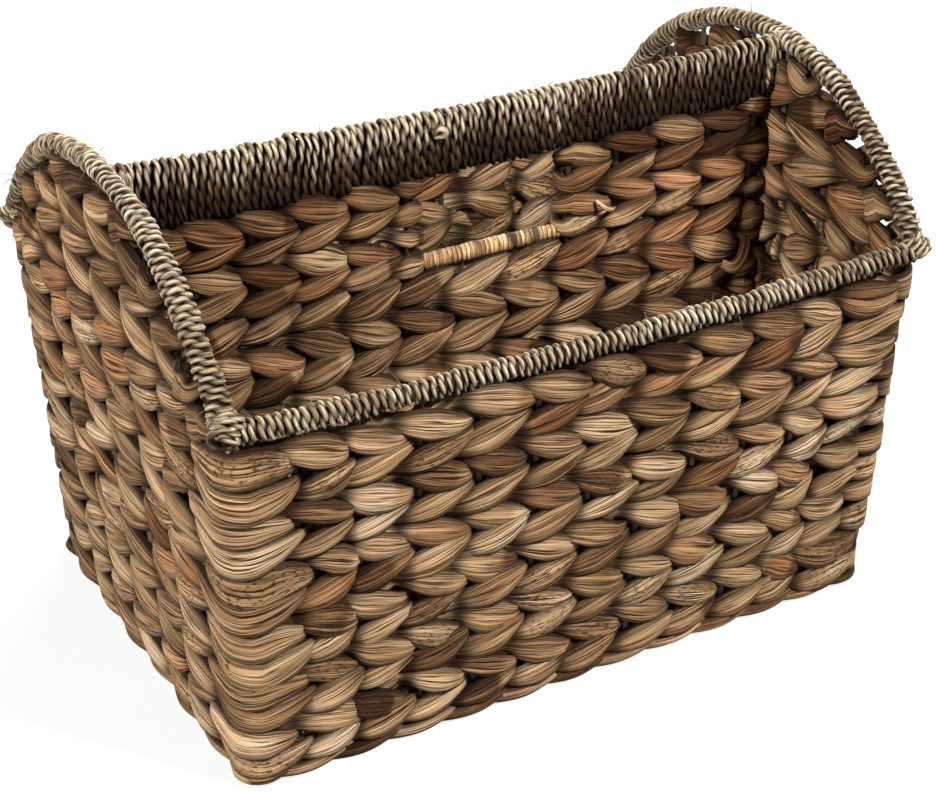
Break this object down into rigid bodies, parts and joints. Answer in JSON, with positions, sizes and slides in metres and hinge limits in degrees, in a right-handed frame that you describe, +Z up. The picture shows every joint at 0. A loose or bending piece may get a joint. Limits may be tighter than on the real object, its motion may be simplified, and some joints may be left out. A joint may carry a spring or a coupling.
{
  "type": "magazine basket",
  "caption": "Rectangular basket twined from water hyacinth on a wire frame, with arched ends, cord-wound rims and a centre divider with a hand hole and a carrying band",
  "frame": {"origin": "bottom centre of the bounding box, on the floor", "axes": "+X along the width, -Y toward the front, +Z up"},
  "size_m": [0.4144, 0.2892, 0.2992],
  "materials": {
    "water_hyacinth": "dry twined plant stems, tan to brown with dark fibres",
    "seagrass_cord": "pale two-ply twisted grass cord, matt",
    "raffia": "smooth light orange-brown raffia",
    "frame_wire": "dark painted steel wire, semi-matt"
  },
  "bodies": {
    "root": {"back_frame_panel": "frame_wire", "back_rim_wrap": "seagrass_cord", "band_rail": "frame_wire", "band_winding": "seagrass_cord", "base_bar_1": "frame_wire", "base_bar_2": "frame_wire", "base_bar_3": "frame_wire", "base_bar_4": "frame_wire", "base_bar_5": "frame_wire", "base_weave": "water_hyacinth", "divider_frame": "frame_wire", "divider_weave_left": "water_hyacinth", "divider_weave_lower": "water_hyacinth", "divider_weave_right": "water_hyacinth", "floor_border": "water_hyacinth", "front_frame_panel": "frame_wire", "front_rim_wrap": "seagrass_cord", "hand_hole_bar_wrap": "raffia", "left_arch_wrap": "seagrass_cord", "left_end_frame": "frame_wire", "left_gable_course_1": "water_hyacinth", "left_gable_course_2": "water_hyacinth", "left_gable_course_3": "water_hyacinth", "left_gable_course_4": "water_hyacinth", "left_gable_course_5": "water_hyacinth", "right_arch_wrap": "seagrass_cord", "right_end_frame": "frame_wire", "right_gable_course_1": "water_hyacinth", "right_gable_course_2": "water_hyacinth", "right_gable_course_3": "water_hyacinth", "right_gable_course_4": "water_hyacinth", "right_gable_course_5": "water_hyacinth", "wall_course_01": "water_hyacinth", "wall_course_02": "water_hyacinth", "wall_course_03": "water_hyacinth", "wall_course_04": "water_hyacinth", "wall_course_05": "water_hyacinth", "wall_course_06": "water_hyacinth", "wall_course_07": "water_hyacinth", "wall_course_08": "water_hyacinth", "wall_course_09": "water_hyacinth", "wall_course_10": "water_hyacinth", "wall_course_11": "water_hyacinth", "wall_course_12": "water_hyacinth"}
  },
  "joints": []
}
